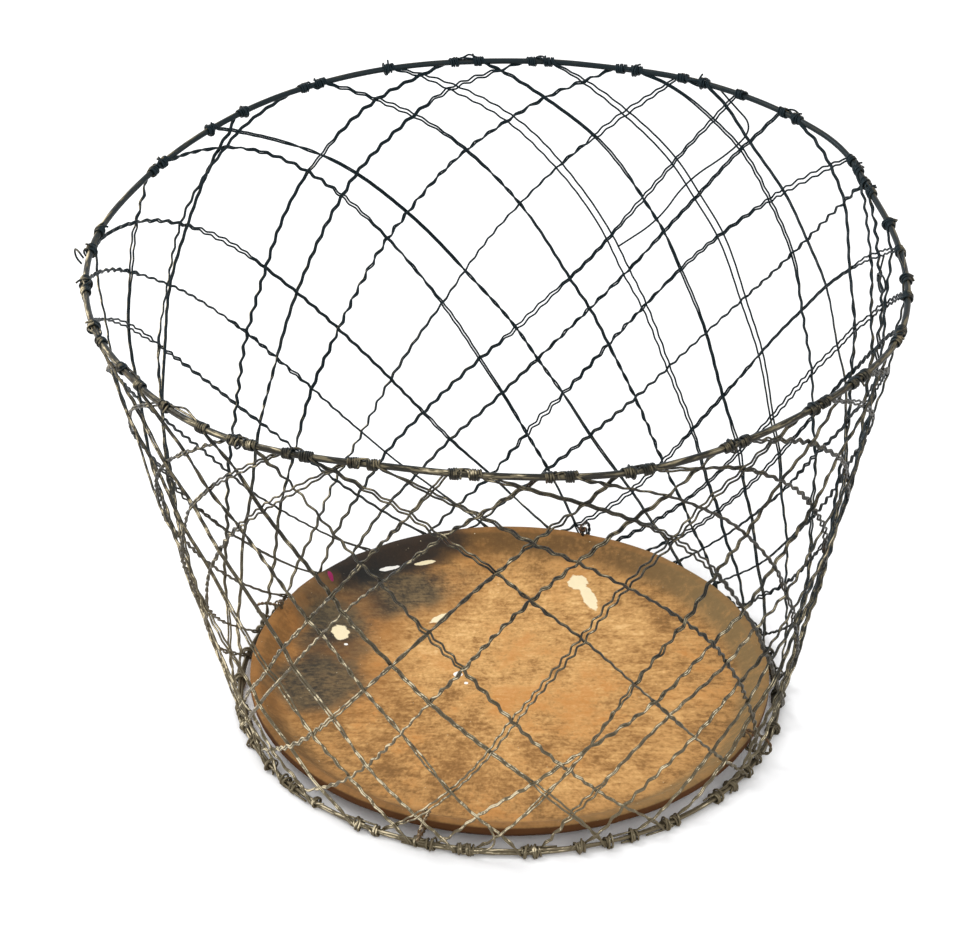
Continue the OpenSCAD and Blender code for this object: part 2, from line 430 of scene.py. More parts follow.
# How far a wire that runs on along a hoop stands off it, and how far it runs on along the base
rim_slacks = [0.0001, 0.0004, 0.0022]
base_slack = 0.0003
base_runs = [0.002, 0.006, 0.016]
run_odds = [0.5, 0.3, 0.2]
# The shortest and longest cut tails
rim_tail = (0.0012, 0.0035)
base_tail = (0.003, 0.0065)
collar_step = math.radians(24)
wrap_gap = 0.00003
wrap_radius = (hoop_wire + net_wire) / 2 + wrap_gap
# How far from a hoop a strand leans to its own side of it, its wires close up and its crimps die out
lean_reach = 0.016
close_reach = 0.030
plain_reach = 0.012
# How far a strand sways sideways, and how flat an opened or twisted pair lies
sway_width = 0.0009
pair_flatness = 0.7
# How strongly a pair opens and closes, its level at the base, and how much more open it is at the rim
open_swing = 1.8
open_level = -0.85
open_rise = 0.6
# The same for its twist, and the length just above the base where it nearly always twists
twist_swing = 2.4
twist_level = -0.8
foot_twist = 0.012
# Lengths of wire over which the pair opens, twists, changes its crimps, leans them over and sways,
# and over which the crimps of the pair and of each wire shift along it
open_run = 0.05
twist_run = 0.07
crimp_run = 0.06
lean_run = 0.11
sway_run = 0.05
wave_run = 0.03
own_wave_run = 0.04
# Steps in which the course of a strand is first worked out
course_steps = 400

# Strands that fall to the right, seen from outside. Each row has the degree of the knot on the
# rim, the degree of the knot on the base, how far the middle is lifted and how strongly it bends
# into an S. The last two are in percent of the height of the net.
fall_right = [
    (2, 81, -4, 7), (21, 102, -14, 0), (27, 112, -6, 4), (43, 131, -15, -2), (51, 139, -12, -4),
    (61, 151, -5, 3), (71, 157, 11, 2), (85, 178, 6, 7), (97, 189, 4, 8), (121, 210, 17, 4),
    (132, 216, 3, 3), (152, 226, -1, 6), (170, 237, 0, 6), (187, 250, 2, 6), (202, 259, -2, 6),
    (216, 272, -3, 3), (230, 289, -11, -3), (238, 302, -10, 1), (246, 327, 2, 4), (255, 332, 15, -1),
    (268, 353, 5, 8), (280, 363, 3, 7), (290, 379, 4, 8), (304, 390, 3, 6), (319, 400, 1, 6),
    (328, 412, 2, 6), (341, 420, -2, 6), (350, 428, -3, 6),
]
# Strands that fall to the left, in the same way
fall_left = [
    (8, -75, -7, -4), (17, -64, 0, 3), (23, -54, 1, 3), (39, -42, -3, 11), (56, -37, 13, -4),
    (67, -15, 12, 4), (81, -2, 6, 4), (92, 13, 5, 5), (106, 23, 5, 7), (117, 34, 3, 6),
    (137, 44, -1, 6), (148, 72, 16, 4), (174, 77, 7, 8), (183, 92, 3, 6), (196, 106, 2, 6),
    (209, 120, -1, 6), (221, 135, 0, 6), (234, 146, -2, 5), (242, 161, -3, 5), (251, 170, -4, 5),
    (264, 193, -9, 0), (276, 197, -2, 3), (286, 203, -11, 3), (300, 221, -4, 6), (315, 243, 3, 8),
    (324, 263, -2, 5), (337, 255, -11, -4), (353, 276, -4, -6),
]
# How far the two wires of some strands have been pulled apart
spread_right = {28: 0.0015}
spread_left = {7: 0.0042, 9: 0.0032, 25: 0.002}
# Loose ends and loops that stand off the wall. Each point has a degree round the basket, a height as
# a share of the net and a distance outward in millimetres.
loose_ends = {
    ("right", 5): [
        (55, 1, 2), (52, 0.97, 4), (48, 0.94, 5), (51, 0.88, 3), (58, 0.80, 1), (62, 0.71, 0), (69, 0.64, 0),
    ],
    ("right", 13): [
        (177, 1, 3), (176, 1.01, 6), (175, 1.004, 9), (175, 0.985, 10), (175, 0.97, 8),
    ],
    ("left", 1): [
        (8, 0.94, 0), (6, 0.90, -3), (3.5, 0.89, -2), (2.5, 0.91, -1), (3.5, 0.93, -3), (6, 0.92, -4),
        (7, 0.90, -2), (8, 0.885, 0),
    ],
    ("right", 16): [
        (266, 0.08, 1), (267.5, 0.045, 3), (266, 0.015, 4), (262, 0.008, 3),
    ],
}


def strand_course(knots, share):
    """Angle round the basket and height up the wall, with share = 0 at the rim and 1 at the base."""
    rim_knot, base_knot, lift, bend = knots
    angle = np.radians(rim_knot + (base_knot - rim_knot) * share)
    up = 1 - share + lift / 100 * np.sin(math.pi * share) + bend / 100 * np.sin(2 * math.pi * share)
    return angle, up


def wall_point(angle, up):
    """Points on the wall between the hoops. The kinks of the rim die out in the net below it."""
    share = up[:, None]
    flat = base_point(angle) * (1 - share) + smooth_rim_point(angle) * share
    return flat + rim_kink(angle) * share.clip(0) ** 3


def even_course(knots):
    """The course of a strand in even steps of wire, with the length of wire up to each step."""
    share = np.linspace(0, 1, course_steps)
    points = wall_point(*strand_course(knots, share))
    length = np.concatenate([[0], np.cumsum(np.linalg.norm(np.diff(points, axis=0), axis=1))])
    gone = np.linspace(0, length[-1], int(length[-1] / net_step))
    angle, up = strand_course(knots, np.interp(gone, length, share))
    return gone, angle, up


def crossings():
    """For every strand, the heights where it meets the other strands, and 1 or -1 for over or under."""
    heights = np.linspace(0.015, 0.985, 600)
    share = np.linspace(0, 1, course_steps)
    angles = {}
    for side, family in (("right", fall_right), ("left", fall_left)):
        for i, knots in enumerate(family):
            angle, up = strand_course(knots, share)
            angles[side, i] = np.interp(heights, up[::-1], angle[::-1])
    met = {key: [] for key in angles}
    for i in range(len(fall_right)):
        for j in range(len(fall_left)):
            apart = (angles["right", i] - angles["left", j] + math.pi) % (2 * math.pi) - math.pi
            near = np.abs(apart) < math.pi / 2
            turned = np.nonzero((apart[:-1] * apart[1:] <= 0) & near[:-1] & near[1:])[0]
            for k in turned:
                over = 1 if (i + j) % 2 else -1
                met["right", i].append((heights[k], over))
                met["left", j].append((heights[k], -over))
    return met


weave = crossings()


def outward(angle):
    """Level directions away from the middle of the basket, at these angles round it."""
    angle = np.asarray(angle, float)
    return np.stack([np.cos(angle), np.sin(angle), 0 * angle], axis=-1)


up_axis = np.array([0, 0, 1.0])
# Angles of winding over which a collar slips along its hoop and stands off it
collar_slip_turn = 2.5
collar_gap_turn = 2.0
# Turns that go back over others sink into the gaps between them, to this share of the wire
second_layer = 0.85


def collar(middle, radius, angle, inout, updown, way, wire, turns, back_turns, loose, chance):
    """A wire wound round a hoop. inout and updown, 1 or -1, are the side that it starts on and whether
    it goes over or under first. The turns go on along the hoop in the direction of way, and then
    back over themselves for back_turns. wire is its place in the pair, 0 or 1, and loose how far it
    strays from even turns."""
    turn = np.arange(0, 2 * math.pi * (turns + back_turns) + collar_step, collar_step)
    first = np.minimum(turn, 2 * math.pi * turns)
    second = turn - first
    slide = way * net_wire * ((first - second) / math.pi + wire - 0.5)
    slide = slide + loose * wander(turn, collar_slip_turn, chance)
    place = angle + slide / radius
    reach = wrap_radius + second_layer * net_wire * np.clip(second, 0, 1)
    reach = reach + loose * (0.5 + 0.5 * wander(turn, collar_gap_turn, chance)) * np.clip(turn, 0, 1)
    spoke = inout * np.cos(turn)[:, None] * outward(place) + updown * np.sin(turn)[:, None] * up_axis
    points = middle(place) + reach[:, None] * spoke
    points[:, 2] = np.maximum(points[:, 2], net_wire / 2)
    return points, place[-1], turn[-1]


def along_hoop(middle, radius, start, stop, turn, inout, updown, rise, slack):
    """A wire that lies along a hoop from one angle to another. It turns round the hoop by rise, and
    stands off it by slack in the middle."""
    steps = max(4, int(abs(stop - start) * radius / hoop_step))
    share = np.linspace(0, 1, steps + 1)[1:]
    place = start + (stop - start) * share
    turns = turn + rise * share
    spoke = inout * np.cos(turns)[:, None] * outward(place) + updown * np.sin(turns)[:, None] * up_axis
    reach = wrap_radius + slack * np.sin(math.pi * share) ** 2
    return middle(place) + reach[:, None] * spoke


def tail(points, length, lean):
    """A cut end that goes straight on from the last two points and leans off."""
    run = unit(points[-1] - points[-2])
    steps = max(3, int(length / tail_step))
    gone = np.linspace(0, length, steps + 1)[1:, None]
    return points[-1] + run * gone + lean * gone ** 2 / length


def eased(points, joints):
    """Rounds the corners of a wire where its stretches join."""
    reach = 4
    rounds = 4
    for joint in joints:
        low = max(1, joint - reach)
        high = min(len(points) - 1, joint + reach)
        for _ in range(rounds):
            middle = points[low:high]
            points[low:high] = (points[low - 1:high - 1] + 2 * middle + points[low + 1:high + 1]) / 4
    return points


def strand_wires(side, i, knots, partner, spread, chance):
    """The two wires of one strand, each as a line of points from the rim end to the base end."""
    layer = 1 if side == "right" else -1
    gone, angle, up = even_course(knots)
    left = gone[-1] - gone
    near_end = np.minimum(gone, left)
    middle = wall_point(angle, up)
    out = outward(angle)
    run = unit(np.gradient(middle, axis=0))
    across = unit(np.cross(out, run))
    normal = np.cross(run, across)

    # The strand goes over and under the others, and at the hoops to its own side of them
    met = sorted(weave[side, i])
    heights = np.array([height for height, over in met])
    overs = np.array([over for height, over in met])
    over = np.sin(math.pi / 2 * np.interp(up, heights, overs)) * weave_depth
    reach_hoop = np.clip(1 - near_end / lean_reach, 0, 1) ** 1.5
    stand_off = over * (1 - reach_hoop) + layer * wrap_radius * reach_hoop

    # Here and there the two wires stand apart, more often near the rim
    tight = np.clip(near_end / close_reach, 0, 1)
    openness = np.clip(open_swing * wander(gone, open_run, chance) + open_level + open_rise * up, 0, 1)
    gap = open_gap * openness
    gap = gap + spread * np.sin(math.pi * np.clip(gone / gone[-1] * 1.4, 0, 1)) ** 0.7
    gap = net_wire * 1.02 + gap * tight

    # In other places they are twisted together by whole half turns. A pair that has been pulled
    # apart has no twist.
    twist_rate = np.clip(twist_swing * wander(gone, twist_run, chance) + twist_level, 0, 1) * (1 - openness)
    twist_rate = np.maximum(twist_rate, np.clip(1.6 - left / foot_twist, 0, 1)) * (spread == 0)
    twist = np.cumsum(twist_rate) * net_step * math.pi / twist_length
    half_turns = round(twist[-1] / math.pi)
    twist = twist + (half_turns * math.pi - twist[-1]) * gone / gone[-1]

    # The crimps of both wires keep nearly in step, and die out toward the hoops
    size = crimp_height * (0.8 + 0.5 * wander(gone, crimp_run, chance))
    size = size * np.clip(near_end / plain_reach, 0, 1)
    lean = crimp_lean[side] + 0.8 * wander(gone, lean_run, chance)
    sway = sway_width * wander(gone, sway_run, chance) * tight
    wave = 2 * math.pi * gone / crimp_length + chance.uniform(0, 2 * math.pi)
    wave = wave + 0.9 * wander(gone, wave_run, chance)
    wires = []
    for wire, pair_side in enumerate((-0.5, 0.5)):
        own_wave = wave + 0.35 * wander(gone, own_wave_run, chance)
        crimp = size * (np.sin(own_wave) - np.sin(3 * own_wave) / 14)
        sideways = pair_side * gap * np.cos(twist) + crimp * np.cos(lean) + sway
        outwards = pair_side * gap * np.sin(twist) * pair_flatness + crimp * np.sin(lean) + stand_off
        body = middle + sideways[:, None] * across + outwards[:, None] * normal
        # An odd number of half turns has brought the other wire to this side
        base_place = wire if half_turns % 2 == 0 else 1 - wire
        wires.append(finish_wire(body, wire, base_place, side, knots, partner, layer, chance))
    return wires


def rim_end(rim_place, side, knots, partner, layer, chance):
    """The collar of a wire on the rim, and how it goes on: to the collar of its partner, or as a
    short tail."""
    angle = math.radians(knots[0])
    way = -1 if side == "right" else 1
    turns = collar_turns + chance.uniform(0.15, 0.45)
    back_turns = chance.choice([0, 1.0], p=[0.7, 0.3]) * (partner is None)
    wound, place, turn = collar(rim_point, rim_radius, angle, layer, 1, way, rim_place, turns, back_turns,
                                rim_loose, chance)
    if partner is None:
        lean = outward(angle) * chance.uniform(-0.002, 0.001) - up_axis * chance.uniform(0.0005, 0.002)
        return wound, tail(wound, chance.uniform(*rim_tail), lean)
    # The two wires turn opposite ways round the hoop as they run on, and stop beside the other collar
    rise = chance.uniform(-0.5, 0.5) + (1.2 if rim_place else -0.9)
    slack = chance.choice(rim_slacks, p=run_odds)
    stop = math.radians(partner) + 2.5 * net_wire / rim_radius
    return wound, along_hoop(rim_point, rim_radius, place, stop, turn, layer, 1, rise, slack)


def base_end(base_place, side, knots, layer, chance):
    """The looser collar of a wire on the base hoop, a short run along the hoop and a cut tail."""
    angle = math.radians(knots[1])
    way = 1 if side == "right" else -1
    turns = base_turns + chance.uniform(-0.5, 0.4)
    back_turns = chance.choice([0.2, 0.9])
    wound, place, turn = collar(base_point, base_radius, angle, layer, -1, way, base_place, turns,
                                back_turns, base_loose, chance)
    run_on = chance.choice(base_runs, p=run_odds) / base_radius
    rise = chance.uniform(-0.6, 0.6)
    on = along_hoop(base_point, base_radius, place, place + way * run_on, turn, layer, -1, rise, base_slack)
    lean = outward(angle) * chance.uniform(-0.001, 0.002) + up_axis * chance.uniform(0.002, 0.007)
    return wound, on, tail(on, chance.uniform(*base_tail), lean)


def finish_wire(body, rim_place, base_place, side, knots, partner, layer, chance):
    """Winds both ends of a wire round the hoops and cuts it off. The two places say which wire of the
    pair comes first along each hoop."""
    top, on = rim_end(rim_place, side, knots, partner, layer, chance)
    low, low_on, low_tail = base_end(base_place, side, knots, layer, chance)
    head = np.concatenate([top, on])[::-1]
    foot = np.concatenate([low, low_on, low_tail])
    foot[:, 2] = np.maximum(foot[:, 2], net_wire / 2)
    body = body[2:-2]
    points = np.concatenate([head, body, foot])
    joints = [len(on), len(head), len(head) + len(body), len(head) + len(body) + len(low)]
    return eased(points, joints)


def smooth_route(points, step):
    """A smooth line in even steps along the points of a bent wire, with the length up to each step."""
    rounds = 3
    points = np.asarray(points, float)
    for _ in range(rounds):
        cut = np.empty((2 * len(points) - 2, 3))
        cut[0::2] = points[:-1] * 0.75 + points[1:] * 0.25
        cut[1::2] = points[:-1] * 0.25 + points[1:] * 0.75
        points = np.concatenate([points[:1], cut, points[-1:]])
    length = np.concatenate([[0], np.cumsum(np.linalg.norm(np.diff(points, axis=0), axis=1))])
    gone = np.linspace(0, length[-1], int(length[-1] / step))
    return np.stack([np.interp(gone, length, points[:, k]) for k in range(3)], axis=-1), gone


def loose_wire(places):
    """A wire through places given as degree, share of the height and millimetres outward."""
    degrees, up, out = np.array(places, float).T
    angle = np.radians(degrees)
    points = wall_point(angle, up) + (out / 1000)[:, None] * outward(angle)
    return smooth_route(points, net_step)[0]


def partner_of(rim_knot):
    """The knot of the strand that shares its wires with this one, a few degrees back along the rim."""
    least = 2
    most = 9
    near = [left[0] for left in fall_left if least <= (rim_knot - left[0]) % 360 <= most]
    if not near:
        return None
    return max(near) if rim_knot > max(near) else max(near) - 360


net_steel = steel_finish("net_steel", streak_scale=190.0, streak_span=(0.41, 0.66), inner_share=0.0,
                         wear_and_highlight_share=1.7)

for side, family, spreads in (("right", fall_right, spread_right), ("left", fall_left, spread_left)):
    for i, knots in enumerate(family):
        number = i + 1
        chance = np.random.default_rng([number, len(side)])
        partner = partner_of(knots[0]) if side == "right" else None
        lines = strand_wires(side, i, knots, partner, spreads.get(number, 0.0), chance)
        if (side, number) in loose_ends:
            lines.append(loose_wire(loose_ends[side, number]))
        surfaces = [wire_surface(line, net_wire, net_sides) for line in lines]
        make_piece(f"strand_{side}_{number:02d}", surfaces, net_steel,
                   [f"net_strand_{side}_{number:02d}"])

# --------
# Tray: a shallow round dish turned from wood, with a flared wall and a flat lip. It is the bottom of
# the basket and lies inside the base hoop, held by four ties. The sun has bleached it, the left has
# been burnt, and old paint has dripped on it.
# --------
tray_low, tray_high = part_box("tray")
tray_x = (tray_low.x + tray_high.x) / 2
tray_radius = (tray_high.x - tray_low.x) / 2
tray_height = tray_high.z
lip_width = 0.0048
lip_edge = 0.006
floor_thickness = 0.0045
flare = 0.012
# Radii of the section's corners: foot, under the lip, top of the lip outside and inside, and floor
corner_radii = [0.0015, 0.002, 0.0016, 0.0028, 0.006]
corner_steps = 7
wall_step = 0.006
floor_steps = 20
tray_turns = 256
# How deeply the wall and lip are worn, over what angle, and from what share of the radius outward.
# Below the last of these nothing is worn down.
edge_wear = 0.0004
edge_wear_turn = 0.12
worn_from = 0.9
worn_above = 0.008

bleached_wood = (0.88, 0.62, 0.31, 1)
pale_wood = (0.71, 0.42, 0.160, 1)
tan_wood = (0.45, 0.235, 0.078, 1)
deep_wood = (0.24, 0.115, 0.035, 1)
orange_wood = (0.50, 0.20, 0.045, 1)
wall_wood = (0.145, 0.080, 0.030, 1)
olive_wood = (0.20, 0.135, 0.058, 1)
edge_wood = (0.085, 0.033, 0.010, 1)
lip_wood = (0.31, 0.145, 0.045, 1)
stain_olive = (0.095, 0.085, 0.052, 1)
stain_black = (0.016, 0.018, 0.019, 1)
cream_paint = (0.88, 0.76, 0.50, 1)
white_paint = (0.94, 0.92, 0.86, 1)
red_paint = (0.30, 0.02, 0.10, 1)
# The board is palest round here, from the middle of the tray
bright_place = (0.005, 0.035, 0)
# Burnt stains on the board: centre, half length and half width in metres and the turn of the long side
stains = [
    ((-0.074, 0.090), (0.052, 0.026), 0.46),
    ((-0.098, 0.046), (0.022, 0.034), 0.1),
    ((-0.106, -0.002), (0.027, 0.027), 0.5),
]
# A long scorch along the wall at the back left
scorch_place = (-0.074, 0.128)
scorch_size = (0.064, 0.019)
scorch_turn = 0.46
wood_roughness = 0.0012
# Spots of old paint, in the same way, each with its colour
paint_spots = [
    ((-0.094, 0.051), (0.0054, 0.0080), 0.2, cream_paint),
    ((0.054, 0.108), (0.0062, 0.0080), 0.2, cream_paint),
    ((0.060, 0.092), (0.0042, 0.0150), 0.25, cream_paint),
    ((-0.033, 0.067), (0.0070, 0.0028), 0.7, cream_paint),
    ((-0.021, 0.007), (0.0026, 0.0026), 0.0, white_paint),
    ((-0.016, -0.002), (0.0014, 0.0014), 0.0, white_paint),
    ((-0.090, 0.038), (0.0012, 0.0012), 0.0, white_paint),
    ((-0.066, 0.119), (0.0070, 0.0011), 0.45, white_paint),
    ((-0.043, 0.128), (0.0080, 0.0014), 0.35, cream_paint),
    ((-0.102, 0.099), (0.0016, 0.0030), 0.4, red_paint),
]


def rounded_corner(before, corner, after, radius, steps):
    """Points round a corner of the tray's section."""
    toward_before = unit(np.subtract(before, corner))
    toward_after = unit(np.subtract(after, corner))
    start = np.add(corner, toward_before * radius)
    stop = np.add(corner, toward_after * radius)
    share = np.linspace(0, 1, steps)[:, None]
    return (1 - share) ** 2 * start + 2 * share * (1 - share) * np.array(corner) + share ** 2 * stop


def tray_section():
    """Half of the tray's section as radius and height, from the middle underneath to the middle on top."""
    foot = tray_radius - flare
    outline = [
        (0.0, 0.0), (foot, 0.0), (tray_radius, tray_height - lip_edge), (tray_radius, tray_height),
        (tray_radius - lip_width, tray_height), (foot - lip_width, floor_thickness), (0.0, floor_thickness),
    ]
    points = [np.array([outline[0]])]
    for k, corner_radius in enumerate(corner_radii, start=1):
        before = points[-1][-1]
        bend = rounded_corner(outline[k - 1], outline[k], outline[k + 1], corner_radius, corner_steps)
        steps = max(1, int(np.linalg.norm(bend[0] - before) / wall_step))
        share = np.linspace(0, 1, steps + 1)[1:-1, None]
        points.append(before * (1 - share) + bend[0] * share)
        points.append(bend)
    before = points[-1][-1]
    share = np.linspace(0, 1, floor_steps)[1:, None]
    points.append(before * (1 - share) + np.array(outline[-1]) * share)
    return np.concatenate(points)


def tray_surface():
    """Corners and faces of the turned tray, with its wall and lip worn uneven."""
    section = tray_section()
    chance = np.random.default_rng(5)
    angle = 2 * math.pi * np.arange(tray_turns) / tray_turns
    close = np.sin(angle / 2) ** 0.5
    worn = edge_wear * close * wander(angle, edge_wear_turn, chance)
    inner = section[1:-1]
    edge = np.clip((inner[:, 0] - worn_from * tray_radius) / ((1 - worn_from) * tray_radius), 0, 1)
    radius = inner[:, 0][None, :] - np.abs(worn)[:, None] * edge
    lifted = worn[:, None] * edge * (inner[:, 1] > worn_above)
    height = np.clip(inner[:, 1][None, :] + lifted, 0, tray_height)
    corners = np.stack([
        tray_x + radius * np.cos(angle)[:, None],
        radius * np.sin(angle)[:, None],
        height,
    ], axis=-1).reshape(-1, 3)
    row = len(inner)
    here = np.arange(tray_turns)[:, None] * row
    there = (here + row) % (tray_turns * row)
    k = np.arange(row - 1)
    faces = np.stack([here + k, there + k, there + k + 1, here + k + 1], axis=-1).reshape(-1, 4).tolist()
    centre_under = len(corners)
    centre_top = centre_under + 1
    ends = np.array([[tray_x, 0, section[0, 1]], [tray_x, 0, section[-1, 1]]])
    for turn in range(tray_turns):
        ahead = (turn + 1) % tray_turns
        faces.append([centre_under, ahead * row, turn * row])
        faces.append([centre_top, turn * row + row - 1, ahead * row + row - 1])
    return np.concatenate([corners, ends]), faces


def splash(finish, centre, size, turn, ragged, soft, scale):
    """1 inside an uneven spot on the tray, and 0 outside it. ragged is how uneven its edge is, soft
    how slowly it fades, and scale how fine its unevenness."""
    moved = finish.vector("SUBTRACT", finish.place, (*centre, 0))
    turned = finish.stretch((1, 1, 0), -turn, place=moved)
    shrunk = finish.vector("DIVIDE", turned, (*size, 1))
    distance = finish.vector("LENGTH", shrunk)
    reach = finish.math("MULTIPLY_ADD", finish.noise(scale, detail=3), ragged, 1 - ragged / 2)
    return finish.fade(finish.math("SUBTRACT", reach, distance), -soft, soft)


def wood_patterns(finish):
    """The random patterns of the wood: its overall tone, and the mottle, flecks and clouds in it."""
    # The grain runs from left to right, and is finer across
    grain_scale = (70.0, 260.0, 200.0)
    grain = finish.noise(scale=1.0, detail=5, rough=0.7, place=finish.stretch(grain_scale))
    mottle = finish.noise(scale=26.0, detail=6, rough=0.7)
    flecks = finish.noise(scale=120.0, rough=0.7)
    speckle = finish.noise(scale=420.0, detail=3, rough=0.7)
    clouds = finish.noise(scale=11.0, rough=0.6, place=finish.stretch((1, 1, 1), shift=(0.3, 0.7, 0)))
    mottle_share = 0.34
    grain_share = 0.22
    fleck_share = 0.24
    speckle_share = 0.20
    tone = finish.math("MULTIPLY_ADD", grain, grain_share, finish.math("MULTIPLY", mottle, mottle_share))
    tone = finish.math("MULTIPLY_ADD", flecks, fleck_share, tone)
    tone = finish.math("MULTIPLY_ADD", speckle, speckle_share, tone)
    return tone, mottle, flecks, clouds


def board_colour(finish, from_middle, tone, mottle, flecks, clouds):
    """The floor of the tray: palest round its bright place and darker toward the wall, with rusty stains."""
    distance = finish.vector("LENGTH", from_middle)
    from_bright = finish.vector("SUBTRACT", from_middle, bright_place)
    off_bright = finish.math("MULTIPLY_ADD", clouds, 0.10, finish.vector("LENGTH", from_bright))
    lightness = finish.math("MULTIPLY_ADD", finish.fade(off_bright, 0.07, 0.19), -0.045, tone)
    wood = finish.mix(finish.fade(lightness, 0.36, 0.49), deep_wood, tan_wood)
    wood = finish.mix(finish.fade(lightness, 0.43, 0.58), wood, pale_wood)
    wood = finish.mix(finish.fade(lightness, 0.52, 0.64, 0.0, 0.7), wood, bleached_wood)
    rusty = finish.product(finish.fade(mottle, 0.46, 0.60), finish.fade(clouds, 0.42, 0.60, 0.10, 0.75),
                           finish.fade(flecks, 0.40, 0.58, 0.35, 1.0))
    wood = finish.mix(rusty, wood, orange_wood)
    # Darker toward the wall
    toward_wall = finish.fade(finish.math("MULTIPLY_ADD", mottle, -0.06, distance), 0.070, 0.118, 0.0, 0.70)
    return finish.mix(toward_wall, wood, finish.mix(finish.fade(tone, 0.40, 0.56), wall_wood, tan_wood))


def wall_colour(finish, wood, from_middle, tone):
    """The wall, lip and outside of the tray over the colour of its floor, more olive to the right."""
    distance = finish.vector("LENGTH", from_middle)
    height = finish.vector("DOT_PRODUCT", finish.place, (0, 0, 1))
    toward_right = finish.vector("DOT_PRODUCT", from_middle, (1, -0.2, 0))
    wall_tone = finish.mix(finish.fade(toward_right, 0.02, 0.12), wall_wood, olive_wood)
    wall_tone = finish.mix(finish.fade(tone, 0.48, 0.60, 0.0, 0.45), wall_tone, tan_wood)
    uneven_distance = finish.math("MULTIPLY_ADD", tone, 0.014, distance)
    wall = finish.fade(uneven_distance, tray_radius - 0.016, tray_radius - 0.005)
    wood = finish.mix(finish.math("MULTIPLY", wall, 0.9), wood, wall_tone)
    top = finish.fade(height, tray_height - 0.0016, tray_height - 0.0004)
    lip_tone = finish.mix(finish.fade(tone, 0.42, 0.52), deep_wood, lip_wood)
    lip_tone = finish.mix(finish.fade(toward_right, 0.02, 0.12, 0.0, 0.55), lip_tone, olive_wood)
    wood = finish.mix(finish.math("MULTIPLY", top, 0.6), wood, lip_tone)
    outside = finish.fade(finish.facing_out(tray_x), 0.25, 0.6)
    below_lip = finish.fade(height, tray_height - 0.0006, tray_height - 0.002)
    return finish.mix(finish.math("MULTIPLY", outside, below_lip), wood, edge_wood)


def burnt_colour(finish, wood, tone, mottle):
    """The burnt stains, each with a brown halo and a black core, and the long scorch along the wall."""
    for centre, size, turn in stains:
        halo_size = (size[0] + 0.016, size[1] + 0.014)
        halo = splash(finish, centre, halo_size, turn, ragged=1.2, soft=0.45, scale=36.0)
        halo_colour = finish.mix(mottle, wall_wood, orange_wood)
        wood = finish.mix(finish.math("MULTIPLY", halo, 0.5), wood, halo_colour)
        stain = splash(finish, centre, size, turn, ragged=1.1, soft=0.35, scale=42.0)
        core = splash(finish, centre, size, turn, ragged=1.3, soft=0.40, scale=60.0)
        wood = finish.mix(finish.math("MULTIPLY", stain, 0.80), wood, stain_olive)
        wood = finish.mix(finish.product(core, finish.fade(tone, 0.60, 0.42), 0.85), wood, stain_black)
    scorch = splash(finish, scorch_place, scorch_size, scorch_turn, ragged=0.8, soft=0.30, scale=50.0)
    return finish.mix(finish.math("MULTIPLY", scorch, 0.90), wood, stain_black)


def wood_finish():
    """Sun-bleached orange wood with a rough fine grain, a darker wall, burnt stains and paint spots."""
    finish = Finish("tray_old_wood", roughness=0.7, metallic=0.0, specular=0.12)
    tone, mottle, flecks, clouds = wood_patterns(finish)
    flat = finish.vector("MULTIPLY", finish.place, (1, 1, 0))
    from_middle = finish.vector("SUBTRACT", flat, (tray_x, 0, 0))
    wood = board_colour(finish, from_middle, tone, mottle, flecks, clouds)
    wood = wall_colour(finish, wood, from_middle, tone)
    wood = burnt_colour(finish, wood, tone, mottle)
    for centre, size, turn, paint in paint_spots:
        spot = splash(finish, centre, size, turn, ragged=0.9, soft=0.08, scale=260.0)
        wood = finish.mix(finish.math("MULTIPLY", spot, 0.95), wood, paint)
    specks = finish.fade(finish.noise(scale=430.0, detail=3, rough=0.6), 0.71, 0.76, 0.0, 0.7)
    wood = finish.mix(specks, wood, cream_paint)
    finish.colour(wood)
    finish.bump(tone, wood_roughness)
    return finish.material


make_piece("tray_board", [tray_surface()], wood_finish(), ["tray"])

# --------
# Tray ties: rusty wire in two strands, bent up by hand through the lip of the tray, out round the net
# and back, and twisted. They hold the tray in the net at four places.
# --------
tie_wire = 0.0011
tie_step = 0.0005
tie_pitch = 0.006
tie_degrees = (72, 157, 252, 333)
# Each tie goes through the lip this far in from its edge
tie_inset = 0.003
tie_radius = tray_radius - tie_inset
# Each point of a tie is a distance out from its hole, a distance along the lip and a height
tie_route = [
    (0.0, 0.0, 0.0205), (0.0, 0.0, 0.0170), (0.0, 0.0, 0.0095), (0.0015, 0.0, 0.0078),
    (0.0050, 0.0, 0.0075), (0.0110, 0.0, 0.0076), (0.0155, 0.0, 0.0086), (0.0170, 0.0004, 0.0112),
    (0.0165, 0.0010, 0.0148), (0.0130, 0.0016, 0.0172), (0.0080, 0.0020, 0.0190), (0.0005, 0.0022, 0.0196),
]
# The wire also goes once round the edge of the lip
lip_loop = [
    (0.0, -0.0004, 0.0100), (-0.0006, -0.0004, 0.0150), (-0.0004, -0.0006, 0.0192),
    (0.0018, -0.0010, 0.0203), (0.0042, -0.0012, 0.0194), (0.0052, -0.0014, 0.0160),
    (0.0042, -0.0012, 0.0110), (0.0010, -0.0006, 0.0085),
]
# At the back the end of the wire is balled up on top of the lip
knob_radius = 0.00165
knob_turns = 2.6
knob_height = 0.0186
knob_pitch = 0.0012
knob_waver = 0.0004
knob_ties = (1, 2)
tie_rust = steel_finish("tie_rust", streak_scale=300.0, streak_span=(0.38, 0.64), inner_share=0.3,
                        wear_and_highlight_share=0.8, rust_share=0.9, worn=rust_brown)


